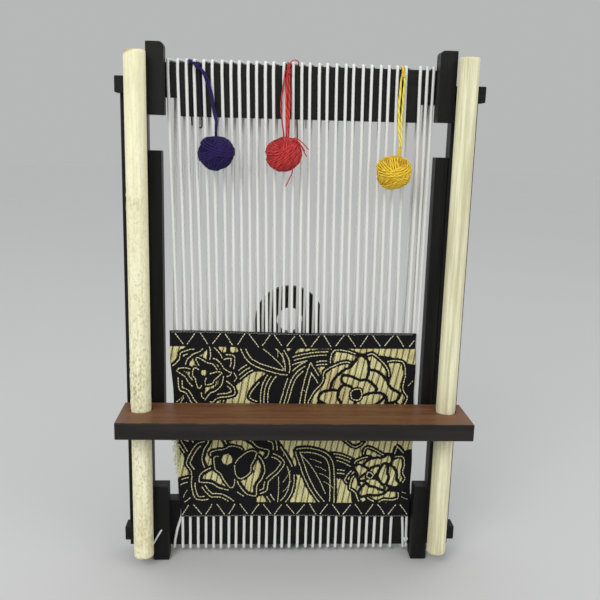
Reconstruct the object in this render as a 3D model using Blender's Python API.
# Small upright rug loom: a black wooden frame held up by two round poles, a weaver's plank that
# slides on the poles, a cotton warp wound round two beams, a rug panel and three hanging yarn balls.
# Metres, +Z up, +X to the weaver's right, +Y away from the weaver.
# The origin is on the floor, in the middle of the whole loom's width and depth.

import math

import bpy
import bmesh
import numpy as np
from mathutils import Matrix, Vector

MM = 0.001

# Clearances
TOUCH = 0.3 * MM                # gap left between pieces that touch
POLE_CLEARANCE = 0.3 * MM       # play of a pole in its hole in the plank

# Poles: two round sticks in front of the frame; their spacing sets the loom's width
POLE_SPACING = 180.0 * MM
POLE_LEFT_DIAMETER = 12.0 * MM
POLE_RIGHT_DIAMETER = 11.6 * MM
POLE_HEAD = 3.9 * MM            # how far the left pole stands up past the top beam
POLE_LEFT_RAISE = 7.5 * MM      # height of the pole's lower end above the floor
POLE_RIGHT_RAISE = 9.0 * MM
POLE_END_ROUND = 0.6 * MM

# Frame lumber: one thickness of board in two layers
BOARD = 9.5 * MM
EDGE_ROUND = 0.4 * MM
BLOCK_WIDTH = 9.7 * MM          # upright blocks beside the poles, front layer
BLOCK_FROM_POLE = 14.4 * MM     # from a pole's centre line in to its blocks' inner faces
TOP_BLOCK_LENGTH = 38.4 * MM
TOP_BLOCK_CORNER = 2.5 * MM
FOOT_BLOCK_LENGTH = 49.1 * MM
SPACER_LENGTH = 16.6 * MM       # bars that join each pole to its post, front layer
SPACER_HEIGHT = 8.8 * MM
TOP_SPACER_OFFSET = 11.2 * MM   # above the top beam's underside
FOOT_SPACER_RISE = 13.8 * MM
POST_WIDTH = 14.8 * MM          # outer uprights, back layer
POST_BOTTOM = 5.0 * MM
SLAT_WIDTH = 7.3 * MM           # narrow uprights on the inner edges of the posts
SLAT_BOTTOM = 93.0 * MM
SLAT_BELOW_BEAM = 19.3 * MM     # from the top beam's underside down to the slats
TOP_BEAM_HEIGHT = 28.8 * MM
TOP_BEAM_BOTTOM = 268.8 * MM
TOP_BEAM_NOTCH = 10.1 * MM      # how much lower the beam's middle hangs than its ends
TOP_BEAM_NOTCH_INNER = 68.0 * MM
BOTTOM_BEAM_HEIGHT = 30.4 * MM
BOTTOM_BEAM_BOTTOM = 4.7 * MM

# Weaver's plank
PLANK_PAST_POLE = 11.4 * MM     # from a pole's centre line to the plank's end
PLANK_DEPTH = 34.0 * MM
PLANK_THICKNESS = 10.0 * MM
PLANK_FROM_RUG = 0.8 * MM       # gap behind the plank
PLANK_HEIGHT = 91.2 * MM        # underside above the floor

# Rear stay and its brace
STAY_X = -3.3 * MM              # a little left of the middle
STAY_HEAD_RADIUS = 21.0 * MM
STAY_HEAD_HEIGHT = 149.0 * MM
STAY_HOLE_RADIUS = 8.0 * MM
STAY_THICKNESS = 6.0 * MM
BRACE_DEPTH = 52.0 * MM
BRACE_HEIGHT = 70.0 * MM
BRACE_TOE = 12.0 * MM

# Warp: 28 evenly spaced front strands, and three that stand apart by the right block
YARN = 2.0 * MM
STRANDS = 31
LEFT_YARN_STRANDS = 16
WARP_START_RISE = 7.3 * MM      # above the bottom beam's underside, where each yarn is tied to its face

# Front strands' distances in from the blocks' inner faces: the first, the last evenly spaced one,
# then the three by the right block. They are drawn in at the rug's upper edge.
FELL_STRANDS = (5.2 * MM, 14.9 * MM, 8.0 * MM, 4.7 * MM, 1.9 * MM)
FOOT_STRANDS = (2.4 * MM, 17.7 * MM, 11.7 * MM, 4.8 * MM, 1.7 * MM)
TOP_EVEN_INSET = 16.8 * MM
TOP_GROUP_PITCH = 3.75 * MM

# Rug panel, hanging a little out of square: its corners' distances in from the blocks' inner faces
RUG_THICKNESS = 1.0 * MM
RUG_TOP = 145.0 * MM
RUG_BOTTOM = 25.5 * MM
RUG_TOP_LEFT_INSET = 1.6 * MM
RUG_TOP_RIGHT_INSET = 3.0 * MM
RUG_LOW_LEFT_INSET = 6.6 * MM
RUG_LOW_RIGHT_INSET = 0.6 * MM

# Yarn balls
BALL_RADIUS = 10.2 * MM
BALL_YARN = 1.2 * MM
BALL_LAYER_RISE = 1.9 * MM      # between the centre lines of the two layers of loops
INNER_LOOPS = 4
OUTER_LOOPS = 3
LOOP_POINTS = 16
INNER_LATITUDE = math.radians(50.0)
OUTER_LATITUDE = math.radians(30.0)
THREAD = 1.8 * MM               # the doubled yarn that a ball hangs by
TIE_END = 2.6 * MM              # below the top beam's upper face, where a tie's front end points down
THREAD_PLAY = 0.4 * MM          # gap between a tie's end and its thread, which swings there
TIE_DROP = 9.0 * MM             # how far the tie reaches down behind the beam
SLACK_THREAD = 0.9 * MM
TAIL = 0.6 * MM

# Each ball: its middle left or right of the loom's middle, how far it hangs below the top beam's upper
# face, where the yarn goes over the beam, and where the yarn leaves the ball, right of the ball's middle
BLUE_X = -47.0 * MM
BLUE_DROP = 48.6 * MM
BLUE_TIE_X = -62.0 * MM
BLUE_TIE_RUN = 3.75 * MM        # the blue yarn slants to the right from the beam's edge
BLUE_TIE_END = 1.65 * MM
BLUE_LEAVE = 0.5 * MM
RED_X = -9.6 * MM
RED_DROP = 48.2 * MM
RED_TIE_X = -7.8 * MM
RED_LEAVE = 0.6 * MM
YELLOW_X = 52.0 * MM
YELLOW_DROP = 57.1 * MM
YELLOW_TIE_X = 56.3 * MM
YELLOW_LEAVE = 2.4 * MM

# Depth of each layer, measured from the poles' centre plane
FRONT_LAYER = POLE_LEFT_DIAMETER / 2 + TOUCH
BACK_LAYER = FRONT_LAYER + BOARD + TOUCH
FRAME_BACK = BACK_LAYER + BOARD
YARN_OFFSET = TOUCH + YARN / 2
FRONT_STRANDS = BACK_LAYER - YARN_OFFSET
BACK_STRANDS = FRAME_BACK + YARN_OFFSET
WARP_FACE = FRONT_STRANDS - YARN / 2
STAY_FRONT = BACK_STRANDS + YARN / 2 + TOUCH
BRACE_FRONT = STAY_FRONT + STAY_THICKNESS + TOUCH
LOOM_BACK = BRACE_FRONT + BRACE_DEPTH
RUG_FRONT = WARP_FACE - TOUCH - RUG_THICKNESS
PLANK_BACK = RUG_FRONT - PLANK_FROM_RUG
LOOM_FRONT = PLANK_BACK - PLANK_DEPTH
DEPTH_CENTRE = (LOOM_FRONT + LOOM_BACK) / 2

# Sideways and upward places that several pieces share
POLE_X = POLE_SPACING / 2
BLOCK_INNER = POLE_X - BLOCK_FROM_POLE
BLOCK_OUTER = BLOCK_INNER + BLOCK_WIDTH
POST_INNER = BLOCK_OUTER + 3 * TOUCH
POST_OUTER = POST_INNER + POST_WIDTH
BEAM_HALF = POST_INNER - TOUCH
TOP_BEAM_TOP = TOP_BEAM_BOTTOM + TOP_BEAM_HEIGHT
BOTTOM_BEAM_TOP = BOTTOM_BEAM_BOTTOM + BOTTOM_BEAM_HEIGHT
TOP_SPACER_RISE = TOP_BEAM_BOTTOM + TOP_SPACER_OFFSET
SLAT_TOP = TOP_BEAM_BOTTOM - SLAT_BELOW_BEAM
POLE_LENGTH = TOP_BEAM_TOP + POLE_HEAD - POLE_LEFT_RAISE
WARP_START = BOTTOM_BEAM_BOTTOM + WARP_START_RISE
THREAD_PLANE = WARP_FACE - TOUCH - THREAD / 2
BALL_PLANE = WARP_FACE - TOUCH - BALL_RADIUS
TIE_TOP = TOP_BEAM_TOP + TOUCH + THREAD / 2
TIE_BACK = FRAME_BACK + TOUCH + THREAD / 2
TIE_LOW = TOP_BEAM_TOP - TIE_END

for old in list(bpy.data.objects):
    bpy.data.objects.remove(old, do_unlink=True)

COLLECTION = bpy.context.scene.collection
STAND = bpy.data.objects.new("loom_stand_point", None)
STAND.location = (0.0, -DEPTH_CENTRE, 0.0)
COLLECTION.objects.link(STAND)


# Materials

def material(name, colour, roughness, metallic=0.0):
    made = bpy.data.materials.new(name)
    made.use_nodes = True
    shader = made.node_tree.nodes["Principled BSDF"]
    shader.inputs["Base Color"].default_value = (*colour, 1.0)
    shader.inputs["Roughness"].default_value = roughness
    shader.inputs["Metallic"].default_value = metallic
    return made


BLACK_WOOD = material("black_painted_wood", (0.020, 0.020, 0.020), 0.45)
PALE_WOOD = material("pale_turned_wood", (0.78, 0.72, 0.50), 0.6)
PLANK_WOOD = material("brown_stained_wood", (0.16, 0.075, 0.033), 0.5)
COTTON = material("white_cotton_yarn", (0.75, 0.76, 0.72), 0.85)
BROCADE = material("black_gold_brocade", (0.35, 0.29, 0.13), 0.55)
BLUE_YARN = material("blue_violet_yarn", (0.030, 0.014, 0.14), 0.85)
RED_YARN = material("red_yarn", (0.60, 0.035, 0.040), 0.85)
YELLOW_YARN = material("yellow_yarn", (0.83, 0.50, 0.035), 0.85)


# Helpers that turn outlines and routes into objects

def add_object(name, data, finish, parent=STAND):
    made = bpy.data.objects.new(name, data)
    data.materials.append(finish)
    made.parent = parent
    COLLECTION.objects.link(made)
    return made


def round_edges(piece, width):
    bevel = piece.modifiers.new("rounded_edges", "BEVEL")
    bevel.width = width
    bevel.segments = 1
    bevel.limit_method = "ANGLE"
    bevel.angle_limit = math.radians(40.0)
    return bevel


def extruded_mesh(name, outline, direction):
    """Close a flat outline and push it along a direction; the faces point outward."""
    mesh = bpy.data.meshes.new(name)
    shape = bmesh.new()
    corners = [shape.verts.new(point) for point in outline]
    face = shape.faces.new(corners)
    pushed = bmesh.ops.extrude_face_region(shape, geom=[face])
    moved = [item for item in pushed["geom"] if isinstance(item, bmesh.types.BMVert)]
    bmesh.ops.translate(shape, verts=moved, vec=direction)
    bmesh.ops.recalc_face_normals(shape, faces=shape.faces[:])
    shape.to_mesh(mesh)
    shape.free()
    return mesh


def board(name, outline, front, thickness, finish, edge=EDGE_ROUND, parent=STAND):
    """A flat board seen from the front: outline in X and Z, thickness along Y."""
    flat = [Vector((x, front, z)) for x, z in outline]
    mesh = extruded_mesh(name, flat, Vector((0.0, thickness, 0.0)))
    piece = add_object(name, mesh, finish, parent)
    if edge:
        round_edges(piece, edge)
    return piece


def rectangle(left, right, low, high):
    return [(left, low), (right, low), (right, high), (left, high)]


def arc(centre_x, centre_z, radius, start, end, steps):
    angles = [start + (end - start) * step / steps for step in range(steps + 1)]
    return [(centre_x + radius * math.cos(a), centre_z + radius * math.sin(a)) for a in angles]


def turned(name, profile, sides, finish, place, parent=STAND):
    """Spin a profile of (radius, height) points, from the axis out and back, round the Z axis."""
    mesh = bpy.data.meshes.new(name)
    shape = bmesh.new()
    rings = []
    for radius, height in profile[1:-1]:
        ring = []
        for side in range(sides):
            angle = 2 * math.pi * side / sides
            ring.append(shape.verts.new((radius * math.cos(angle), radius * math.sin(angle), height)))
        rings.append(ring)
    for lower, upper in zip(rings, rings[1:]):
        for side in range(sides):
            after = (side + 1) % sides
            shape.faces.new((lower[side], lower[after], upper[after], upper[side]))
    shape.faces.new(rings[0][::-1])
    shape.faces.new(rings[-1])
    bmesh.ops.recalc_face_normals(shape, faces=shape.faces[:])
    shape.to_mesh(mesh)
    shape.free()
    mesh.shade_smooth()
    mesh.set_sharp_from_angle(angle=math.radians(35.0))
    piece = add_object(name, mesh, finish, parent)
    piece.location = place
    return piece


def tube(name, points, diameter, resolution, finish, parent=STAND):
    """A yarn: a tube along straight steps between the given points, closed at both ends."""
    curve = bpy.data.curves.new(name, "CURVE")
    curve.dimensions = "3D"
    curve.bevel_depth = diameter / 2
    curve.bevel_resolution = resolution
    curve.use_fill_caps = True
    line = curve.splines.new("POLY")
    line.points.add(len(points) - 1)
    for slot, point in zip(line.points, points):
        slot.co = (*point, 1.0)
    return add_object(name, curve, finish, parent)


def smooth_route(knots, step):
    """Read points every step along a smooth curve through the route's own points."""
    knots = [Vector(knot) for knot in knots]
    padded = [2 * knots[0] - knots[1]] + knots + [2 * knots[-1] - knots[-2]]
    fine = []
    for a, b, c, d in zip(padded, padded[1:], padded[2:], padded[3:]):
        for part in range(20):
            t = part / 20
            fine.append(0.5 * (2 * b + (c - a) * t + (2 * a - 5 * b + 4 * c - d) * t ** 2
                               + (3 * b - a - 3 * c + d) * t ** 3))
    fine.append(knots[-1])
    reach = [0.0]
    for before, after in zip(fine, fine[1:]):
        reach.append(reach[-1] + (after - before).length)
    count = max(3, round(reach[-1] / step))
    marks = np.linspace(0.0, reach[-1], count + 1)
    axes = [np.interp(marks, reach, [point[axis] for point in fine]) for axis in range(3)]
    return [Vector(xyz) for xyz in zip(*axes)]


def least_gap(points, diameter):
    """Narrowest gap between a winding's own turns, measured on points half a diameter apart."""
    samples = []
    for before, after in zip(points, points[1:]):
        steps = max(1, int((after - before).length / (diameter / 2)))
        samples += [before.lerp(after, step / steps) for step in range(steps)]
    samples = np.array([tuple(point) for point in samples])
    travelled = np.concatenate([[0.0], np.cumsum(np.linalg.norm(np.diff(samples, axis=0), axis=1))])
    narrowest = math.inf
    for index in range(len(samples)):
        far = travelled > travelled[index] + 5 * diameter
        if far.any():
            apart = np.linalg.norm(samples[far] - samples[index], axis=1).min()
            narrowest = min(narrowest, apart)
    return narrowest - diameter


# Poles

def pole(name, x, diameter, raise_height):
    r = diameter / 2
    profile = [(0.0, 0.0), (r - POLE_END_ROUND, 0.0), (r, POLE_END_ROUND),
               (r, POLE_LENGTH - POLE_END_ROUND), (r - POLE_END_ROUND, POLE_LENGTH), (0.0, POLE_LENGTH)]
    # each pole's back touches the front layer of the frame
    return turned(name, profile, 32, PALE_WOOD, (x, FRONT_LAYER - TOUCH - r, raise_height))


pole("pole_left", -POLE_X, POLE_LEFT_DIAMETER, POLE_LEFT_RAISE)
pole("pole_right", POLE_X, POLE_RIGHT_DIAMETER, POLE_RIGHT_RAISE)


# Front layer of the frame: blocks beside the poles, spacers behind the poles

def top_block_outline(side):
    """Upright block whose upper corner towards the warp is rounded off."""
    low = TOP_BEAM_BOTTOM
    high = low + TOP_BLOCK_LENGTH
    corner = arc(-BLOCK_INNER - TOP_BLOCK_CORNER, high - TOP_BLOCK_CORNER, TOP_BLOCK_CORNER,
                 math.radians(90.0), 0.0, 4)
    left = [(-BLOCK_INNER, low), (-BLOCK_OUTER, low), (-BLOCK_OUTER, high)] + corner
    return [(-side * x, z) for x, z in left]


for side, word in ((-1, "left"), (1, "right")):
    board("top_block_" + word, top_block_outline(side), FRONT_LAYER, BOARD, BLACK_WOOD)
    edges = sorted((side * BLOCK_INNER, side * BLOCK_OUTER))
    board("foot_block_" + word, rectangle(*edges, 0.0, FOOT_BLOCK_LENGTH), FRONT_LAYER, BOARD, BLACK_WOOD)
    inner = BLOCK_OUTER + TOUCH
    edges = sorted((side * inner, side * (inner + SPACER_LENGTH)))
    for level, rise in (("top", TOP_SPACER_RISE), ("foot", FOOT_SPACER_RISE)):
        board(level + "_spacer_" + word, rectangle(*edges, rise, rise + SPACER_HEIGHT),
              FRONT_LAYER, BOARD, BLACK_WOOD)


# Back layer of the frame: posts, slats and the two beams

POST_TOP = TOP_SPACER_RISE + SPACER_HEIGHT - EDGE_ROUND
for side, word in ((-1, "left"), (1, "right")):
    edges = sorted((side * POST_INNER, side * POST_OUTER))
    board("post_" + word, rectangle(*edges, POST_BOTTOM, POST_TOP), BACK_LAYER, BOARD, BLACK_WOOD)
    outer = POST_INNER - TOUCH
    edges = sorted((side * (outer - SLAT_WIDTH), side * outer))
    board("slat_" + word, rectangle(*edges, SLAT_BOTTOM, SLAT_TOP), BACK_LAYER, BOARD, BLACK_WOOD)

TOP_BEAM_OUTLINE = [
    (-TOP_BEAM_NOTCH_INNER, TOP_BEAM_BOTTOM), (TOP_BEAM_NOTCH_INNER, TOP_BEAM_BOTTOM),
    (TOP_BEAM_NOTCH_INNER, TOP_BEAM_BOTTOM + TOP_BEAM_NOTCH), (BEAM_HALF, TOP_BEAM_BOTTOM + TOP_BEAM_NOTCH),
    (BEAM_HALF, TOP_BEAM_TOP), (-BEAM_HALF, TOP_BEAM_TOP),
    (-BEAM_HALF, TOP_BEAM_BOTTOM + TOP_BEAM_NOTCH), (-TOP_BEAM_NOTCH_INNER, TOP_BEAM_BOTTOM + TOP_BEAM_NOTCH),
]
board("top_beam", TOP_BEAM_OUTLINE, BACK_LAYER, BOARD, BLACK_WOOD)
board("bottom_beam", rectangle(-BEAM_HALF, BEAM_HALF, BOTTOM_BEAM_BOTTOM, BOTTOM_BEAM_TOP),
      BACK_LAYER, BOARD, BLACK_WOOD)


# Rear stay with a round pierced head, and the brace that keeps the loom from tipping back

STAY_OUTLINE = [(STAY_X - STAY_HEAD_RADIUS, 0.0), (STAY_X + STAY_HEAD_RADIUS, 0.0)]
STAY_OUTLINE += arc(STAY_X, STAY_HEAD_HEIGHT, STAY_HEAD_RADIUS, 0.0, math.pi, 24)
stay = board("rear_stay", STAY_OUTLINE, STAY_FRONT, STAY_THICKNESS, BLACK_WOOD)
hole = turned("stay_hole_cutter", [(0.0, 0.0), (STAY_HOLE_RADIUS, 0.0),
                                   (STAY_HOLE_RADIUS, 3 * STAY_THICKNESS), (0.0, 3 * STAY_THICKNESS)],
              32, BLACK_WOOD, (STAY_X, STAY_FRONT - STAY_THICKNESS, STAY_HEAD_HEIGHT))
hole.rotation_euler = (-math.pi / 2, 0.0, 0.0)
hole.hide_render = True
hole.display_type = "WIRE"
pierce = stay.modifiers.new("head_hole", "BOOLEAN")
pierce.operation = "DIFFERENCE"
pierce.solver = "EXACT"
pierce.object = hole

BRACE_SIDE = [(BRACE_FRONT, 0.0), (LOOM_BACK, 0.0), (LOOM_BACK, BRACE_TOE), (BRACE_FRONT, BRACE_HEIGHT)]
brace_mesh = extruded_mesh("rear_brace", [Vector((STAY_X - BOARD / 2, y, z)) for y, z in BRACE_SIDE],
                           Vector((BOARD, 0.0, 0.0)))
round_edges(add_object("rear_brace", brace_mesh, BLACK_WOOD), EDGE_ROUND)


# Weaver's plank, with a hole at each end for its pole

HOLE_SIDES = 32


def plank_mesh():
    """The underside's outline with its two round holes, filled and pushed up to the plank's thickness."""
    holes = ((-POLE_X, POLE_LEFT_DIAMETER), (POLE_X, POLE_RIGHT_DIAMETER))
    mesh = bpy.data.meshes.new("weaver_plank")
    shape = bmesh.new()
    half = POLE_X + PLANK_PAST_POLE
    outside = [shape.verts.new((x, y, PLANK_HEIGHT)) for x, y in
               ((-half, LOOM_FRONT), (half, LOOM_FRONT), (half, PLANK_BACK), (-half, PLANK_BACK))]
    rims = [[shape.edges.new((a, b)) for a, b in zip(outside, outside[1:] + outside[:1])]]
    for x, diameter in holes:
        r = diameter / 2 + POLE_CLEARANCE
        y = FRONT_LAYER - TOUCH - diameter / 2
        ring = []
        for step in range(HOLE_SIDES):
            angle = 2 * math.pi * step / HOLE_SIDES
            ring.append(shape.verts.new((x + r * math.cos(angle), y + r * math.sin(angle), PLANK_HEIGHT)))
        rims.append([shape.edges.new((a, b)) for a, b in zip(ring, ring[1:] + ring[:1])])
    edges = [edge for rim in rims for edge in rim]
    bmesh.ops.triangle_fill(shape, use_beauty=True, use_dissolve=False, edges=edges)
    pushed = bmesh.ops.extrude_face_region(shape, geom=shape.faces[:])
    moved = [item for item in pushed["geom"] if isinstance(item, bmesh.types.BMVert)]
    bmesh.ops.translate(shape, verts=moved, vec=(0.0, 0.0, PLANK_THICKNESS))
    bmesh.ops.recalc_face_normals(shape, faces=shape.faces[:])
    shape.to_mesh(mesh)
    shape.free()
    return mesh


round_edges(add_object("weaver_plank", plank_mesh(), PLANK_WOOD), EDGE_ROUND)


# Warp: yarn wound round both beams, half a pitch further along each time it passes a beam

def strand_places(first_inset, even_inset, *group_insets):
    """X of each front strand at one height, from its distances in from the blocks' inner faces."""
    even = STRANDS - len(group_insets)
    places = [float(x) for x in np.linspace(first_inset - BLOCK_INNER, BLOCK_INNER - even_inset, even)]
    return places + [BLOCK_INNER - inset for inset in group_insets]


TOP_PLACES = strand_places(YARN_OFFSET, TOP_EVEN_INSET, YARN_OFFSET + 2 * TOP_GROUP_PITCH,
                           YARN_OFFSET + TOP_GROUP_PITCH, YARN_OFFSET)
FELL_PLACES = strand_places(*FELL_STRANDS)
FOOT_PLACES = strand_places(*FOOT_STRANDS)
HALF_PITCH = (TOP_PLACES[1] - TOP_PLACES[0]) / 2


def bend(corner_y, corner_z, start_angle):
    """Two points of the yarn's centre line that keep three straight steps clear of a beam's edge."""
    angles = [start_angle - math.pi / 8, start_angle - 3 * math.pi / 8]
    reach = YARN_OFFSET / math.cos(math.pi / 8)
    return [(corner_y + reach * math.cos(a), corner_z + reach * math.sin(a)) for a in angles]


def behind(places, index, last_shift):
    """X of the back strand that follows a front strand: halfway to the next front strand."""
    if index + 1 < len(places):
        return (places[index] + places[index + 1]) / 2
    return places[index] + last_shift


def warp_yarn(first, last, last_shift):
    """One unbroken yarn that makes one loop round the beams for each front strand."""
    top = TOP_PLACES[first:last]
    fell = FELL_PLACES[first:last]
    foot = FOOT_PLACES[first:last]
    points = [Vector((foot[0], FRONT_STRANDS, WARP_START))]
    for index in range(last - first):
        if index > 0:
            for y, z in bend(BACK_LAYER, BOTTOM_BEAM_BOTTOM, -math.pi / 2):
                points.append(Vector((foot[index], y, z)))
        points.append(Vector((foot[index], FRONT_STRANDS, RUG_BOTTOM)))
        points.append(Vector((fell[index], FRONT_STRANDS, RUG_TOP)))
        for y, z in bend(BACK_LAYER, TOP_BEAM_TOP, math.pi):
            points.append(Vector((top[index], y, z)))
        for y, z in bend(FRAME_BACK, TOP_BEAM_TOP, math.pi / 2):
            points.append(Vector((behind(top, index, last_shift), y, z)))
        for y, z in bend(FRAME_BACK, BOTTOM_BEAM_BOTTOM, 0.0):
            points.append(Vector((behind(foot, index, last_shift), y, z)))
    points[-1] = points[-1] + Vector((0.0, -YARN / 2, 0.0))
    return points


for name, first, last, last_shift in (("warp_left", 0, LEFT_YARN_STRANDS, HALF_PITCH),
                                      ("warp_right", LEFT_YARN_STRANDS, STRANDS, YARN / 2)):
    route = warp_yarn(first, last, last_shift)
    tube(name, route, YARN, 1, COTTON)
    print(name, "loops", last - first, "least gap mm", round(least_gap(route, YARN) / MM, 2))


# Rug panel in front of the warp

RUG_OUTLINE = [
    (RUG_LOW_LEFT_INSET - BLOCK_INNER, RUG_BOTTOM),
    (BLOCK_INNER - RUG_LOW_RIGHT_INSET, RUG_BOTTOM),
    (BLOCK_INNER - RUG_TOP_RIGHT_INSET, RUG_TOP),
    (RUG_TOP_LEFT_INSET - BLOCK_INNER, RUG_TOP),
]
board("rug", RUG_OUTLINE, RUG_FRONT, RUG_THICKNESS, BROCADE, edge=0.0)


# Yarn balls: a plain core, one layer of loops, and a second layer wound across it

OUTER_LINE = BALL_RADIUS - BALL_YARN / 2
INNER_LINE = OUTER_LINE - BALL_LAYER_RISE
CORE_RADIUS = INNER_LINE * math.cos(math.pi / LOOP_POINTS) - BALL_YARN / 2 - TOUCH
CLIMB_STEPS = 5
STUB = 2 * BALL_YARN


def spiral(axis, start, radius, latitude, loops):
    """Steady loops from one latitude to the other, on a sphere whose poles lie on axis."""
    across = axis.cross(start)
    points = []
    for step in range(loops * LOOP_POINTS + 1):
        share = step / (loops * LOOP_POINTS)
        turn = 2 * math.pi * loops * share
        height = latitude * (2 * share - 1)
        flat = start * math.cos(turn) + across * math.sin(turn)
        points.append(radius * (flat * math.cos(height) + axis * math.sin(height)))
    return points


def ball_route(leave, sideways):
    """Inner loops, a climb over the bare cap, outer loops across them, and the end that leaves the ball."""
    inner_axis = leave * math.cos(OUTER_LATITUDE) - sideways * math.sin(OUTER_LATITUDE)
    outer_axis = leave * math.sin(OUTER_LATITUDE) + sideways * math.cos(OUTER_LATITUDE)
    outer = spiral(outer_axis, inner_axis, OUTER_LINE, OUTER_LATITUDE, OUTER_LOOPS)
    inner = spiral(inner_axis, -outer_axis, INNER_LINE, INNER_LATITUDE, INNER_LOOPS)
    climb = []
    for step in range(1, CLIMB_STEPS):
        share = step / CLIMB_STEPS
        way = inner[-1].normalized().slerp(outer[0].normalized(), share)
        climb.append(way * (INNER_LINE + (OUTER_LINE - INNER_LINE) * share))
    heading = (outer[-1] - outer[-2]).normalized()
    turn_up = outer[-1] + heading * BALL_YARN * 0.8 + leave * BALL_YARN * 0.4
    lift = turn_up + heading * BALL_YARN * 0.3 + leave * BALL_YARN * 0.9
    return inner + climb + outer + [turn_up, lift, lift + leave * STUB]


def yarn_ball(word, x, drop, leave_x, finish, turn):
    """Core and winding, hung on the warp's face; returns the point and direction in which the yarn leaves."""
    centre = Vector((x, BALL_PLANE, TOP_BEAM_TOP - drop))
    lean = math.asin(leave_x / BALL_RADIUS)
    leave = Vector((math.sin(lean), 0.0, math.cos(lean)))
    sideways = leave.cross(Vector((0.0, 1.0, 0.0)))
    sideways.rotate(Matrix.Rotation(turn, 3, leave))
    route = [centre + point for point in ball_route(leave, sideways)]
    mesh = bpy.data.meshes.new(word + "_ball_core")
    shape = bmesh.new()
    bmesh.ops.create_uvsphere(shape, u_segments=14, v_segments=9, radius=CORE_RADIUS)
    shape.to_mesh(mesh)
    shape.free()
    mesh.shade_smooth()
    add_object(word + "_ball_core", mesh, finish).location = centre
    tube(word + "_ball_winding", route, BALL_YARN, 1, finish)
    print(word + "_ball_winding", "loops", INNER_LOOPS + OUTER_LOOPS,
          "least gap mm", round(least_gap(route, BALL_YARN) / MM, 2))
    return route[-1], leave


# Shares of a thread's way down, with its shares of the way sideways and of the way out to the ball
PLUMB_SHARES = ((0.15, 0.05, 0.02), (0.34, 0.42, 0.15), (0.62, 0.73, 0.35))
SLANTING_SHARES = ((0.13, 0.36, 0.01), (0.42, 0.69, 0.15), (0.71, 0.85, 0.50))


def hanging_thread(name, top, end, leave, shares, finish):
    """Doubled yarn from its tie down the warp's face, which then leans out to its ball."""
    span = end - top
    knots = [top]
    for down, sideways, out in shares:
        knots.append(top + Vector((span.x * sideways, span.y * out, span.z * down)))
    knots += [end + leave * 2 * THREAD, end + leave * TOUCH]
    tube(name, smooth_route(knots, 2.5 * THREAD), THREAD, 2, finish)


def strand_gap(x):
    """Middle of the gap between two neighbouring front strands that lies nearest to x."""
    middles = [(a + b) / 2 for a, b in zip(TOP_PLACES, TOP_PLACES[1:])]
    return min(middles, key=lambda middle: abs(middle - x))


def tie(name, x, front_end, finish):
    """Yarn end that lies over the top beam between two strands, down behind it and down its face."""
    back_x = x + HALF_PITCH
    corner = THREAD / 2 + TOUCH
    knots = [*front_end,
             (x, THREAD_PLANE + 0.4 * THREAD, TOP_BEAM_TOP),
             (x, BACK_LAYER - 0.2 * corner, TIE_TOP),
             ((x + back_x) / 2, (BACK_LAYER + FRAME_BACK) / 2, TIE_TOP),
             (back_x, FRAME_BACK + 0.2 * corner, TIE_TOP),
             (back_x, TIE_BACK, TOP_BEAM_TOP - corner),
             (back_x, TIE_BACK, TOP_BEAM_TOP - TIE_DROP)]
    tube(name, smooth_route(knots, 0.9 * THREAD), THREAD, 2, finish)


def loose_yarn(name, places, finish, diameter):
    """Thin loose yarn through points given by X, depth and the drop below the top beam's upper face."""
    knots = [(x, y, TOP_BEAM_TOP - drop) for x, y, drop in places]
    tube(name, smooth_route(knots, 3.0 * diameter), diameter, 2, finish)


# Blue ball: its yarn slants across a strand, and two thin tails hang between the strands beside it
blue_tie_x = strand_gap(BLUE_TIE_X)
blue_tie_end = Vector((blue_tie_x + BLUE_TIE_RUN, THREAD_PLANE, TOP_BEAM_TOP - BLUE_TIE_END))
tie("blue_tie", blue_tie_x, [
    blue_tie_end,
    blue_tie_end + Vector((-0.22 * BLUE_TIE_RUN, 0.0, 0.22 * BLUE_TIE_RUN)),
    blue_tie_end + Vector((-0.64 * BLUE_TIE_RUN, 0.0, 0.38 * BLUE_TIE_RUN)),
], BLUE_YARN)
blue_end, blue_leave = yarn_ball("blue", BLUE_X, BLUE_DROP, BLUE_LEAVE, BLUE_YARN, math.radians(35.0))
hanging_thread("blue_thread", blue_tie_end + Vector((THREAD_PLAY, 0.0, -THREAD_PLAY)), blue_end, blue_leave,
               SLANTING_SHARES, BLUE_YARN)
tail_plane = BACK_LAYER - TOUCH - TAIL / 2
long_tail_x = strand_gap(blue_tie_end.x)
loose_yarn("blue_tail_long", [
    (long_tail_x + 0.3 * MM, tail_plane, 0.8 * MM),
    (long_tail_x + 0.4 * MM, tail_plane, 8.0 * MM),
    (long_tail_x + 0.7 * MM, tail_plane, 16.0 * MM),
    (long_tail_x + 1.3 * MM, tail_plane - 0.2 * MM, 27.0 * MM),
    (long_tail_x + 1.5 * MM, tail_plane - 0.4 * MM, 32.6 * MM),
    (long_tail_x + 1.3 * MM, tail_plane - 0.5 * MM, 34.8 * MM),
    (long_tail_x + 0.7 * MM, tail_plane - 0.6 * MM, 35.2 * MM),
    (long_tail_x + 0.1 * MM, tail_plane - 0.6 * MM, 34.4 * MM),
], BLUE_YARN, TAIL)
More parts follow.
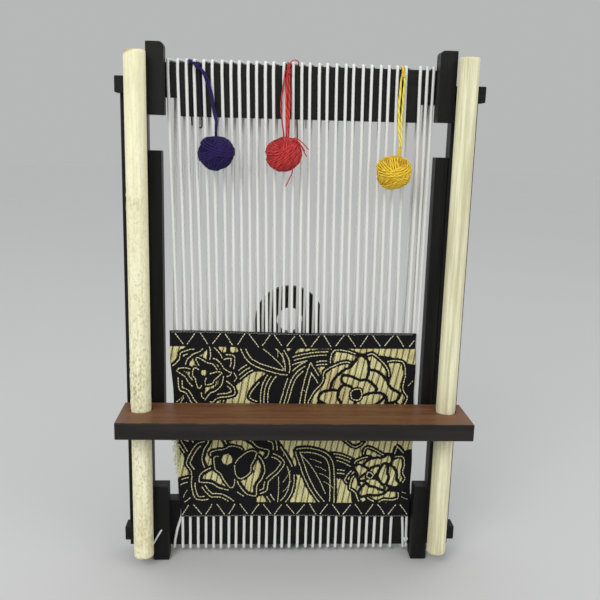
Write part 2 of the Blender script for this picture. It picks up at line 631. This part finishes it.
loose_yarn("blue_tail_short", [
    (blue_tie_x + 0.6 * MM, tail_plane, TIE_END),
    (blue_tie_x + 0.8 * MM, tail_plane, 10.0 * MM),
    (blue_tie_x + 0.7 * MM, tail_plane, 19.0 * MM),
    (blue_tie_x + 0.4 * MM, tail_plane - 0.3 * MM, 26.0 * MM),
    (blue_tie_x + 0.9 * MM, tail_plane - 0.6 * MM, 33.8 * MM),
], BLUE_YARN, TAIL)

# Red ball: a straight doubled thread with a slack single strand beside it
red_tie_x = strand_gap(RED_TIE_X)
red_tie_end = Vector((red_tie_x, THREAD_PLANE, TIE_LOW))
tie("red_tie", red_tie_x, [red_tie_end], RED_YARN)
red_end, red_leave = yarn_ball("red", RED_X, RED_DROP, RED_LEAVE, RED_YARN, math.radians(-50.0))
hanging_thread("red_thread", red_tie_end + Vector((0.0, 0.0, -THREAD_PLAY)), red_end, red_leave,
               PLUMB_SHARES, RED_YARN)
slack_x = red_tie_x - THREAD / 2 - TOUCH - SLACK_THREAD / 2
slack_plane = WARP_FACE - TOUCH - SLACK_THREAD / 2
loose_yarn("red_slack_thread", [
    (slack_x, slack_plane, TIE_END + TOUCH),
    (slack_x - 0.9 * MM, slack_plane - 0.2 * MM, 10.0 * MM),
    (slack_x - 2.1 * MM, slack_plane - 1.4 * MM, 21.0 * MM),
    (slack_x - 1.5 * MM, slack_plane - 4.4 * MM, 30.0 * MM),
    (RED_X - 0.3 * MM, slack_plane - 7.6 * MM, RED_DROP - BALL_RADIUS - SLACK_THREAD),
], RED_YARN, SLACK_THREAD)

# Yellow ball: hung lowest, its thread right of the ball's middle
yellow_tie_x = strand_gap(YELLOW_TIE_X)
yellow_tie_end = Vector((yellow_tie_x, THREAD_PLANE, TIE_LOW))
tie("yellow_tie", yellow_tie_x, [yellow_tie_end], YELLOW_YARN)
yellow_end, yellow_leave = yarn_ball("yellow", YELLOW_X, YELLOW_DROP, YELLOW_LEAVE, YELLOW_YARN,
                                     math.radians(10.0))
hanging_thread("yellow_thread", yellow_tie_end + Vector((0.0, 0.0, -THREAD_PLAY)), yellow_end, yellow_leave,
               PLUMB_SHARES, YELLOW_YARN)
